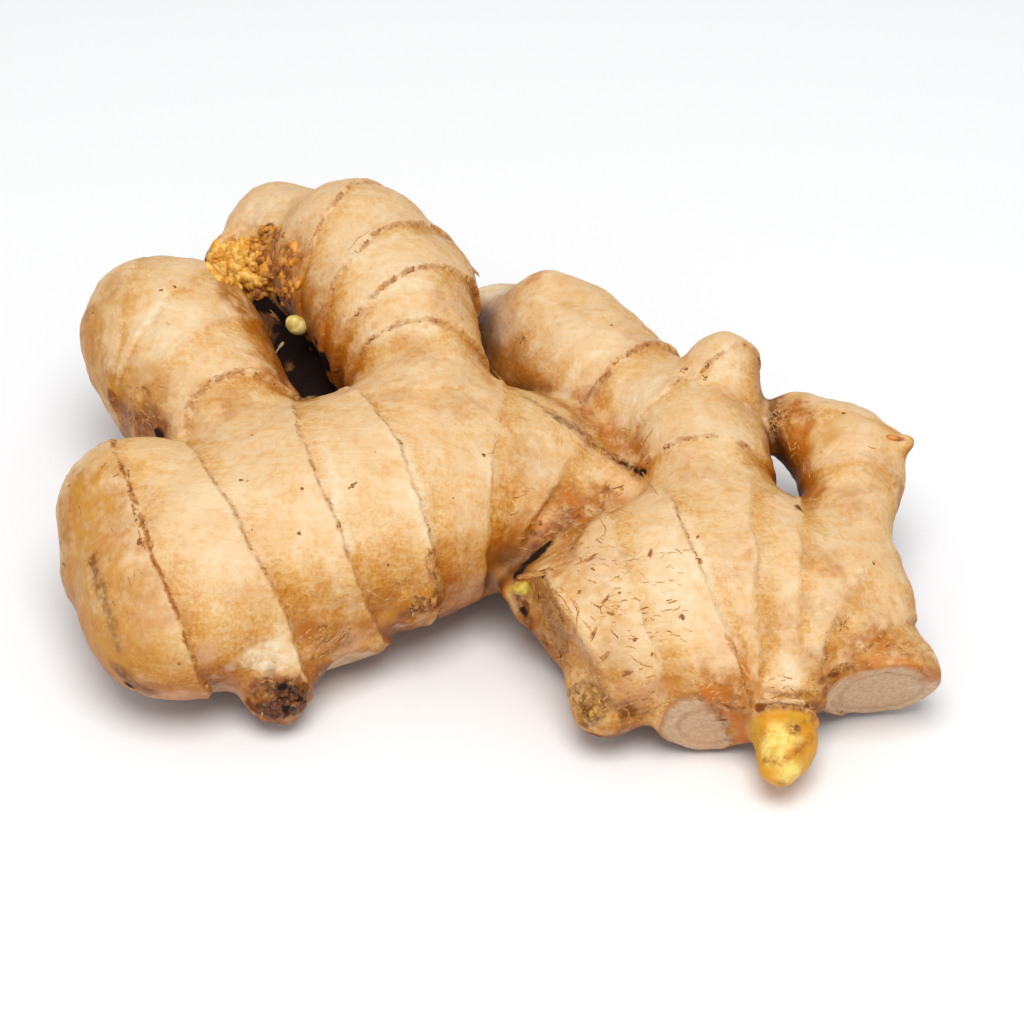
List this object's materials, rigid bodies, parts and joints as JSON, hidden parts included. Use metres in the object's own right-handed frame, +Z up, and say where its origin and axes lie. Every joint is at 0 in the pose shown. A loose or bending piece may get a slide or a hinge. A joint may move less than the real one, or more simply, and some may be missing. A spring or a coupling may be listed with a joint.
{
  "type": "ginger root",
  "caption": "Fresh ginger rhizome with thick knobbly fingers, raised growth rings, buds and cut ends, lying on three small flat spots.",
  "frame": {"origin": "bottom centre of the bounding box, on the surface that the root lies on", "axes": "+X along the longest extent, towards the short hooked finger; +Y away from the viewer of the picture, towards the tips of the back fingers; +Z up"},
  "size_m": [0.1717, 0.1537, 0.0572],
  "materials": {
    "ginger_skin": "dry papery skin, satin"
  },
  "bodies": {
    "root": {"ginger_root": "ginger_skin"}
  },
  "joints": []
}
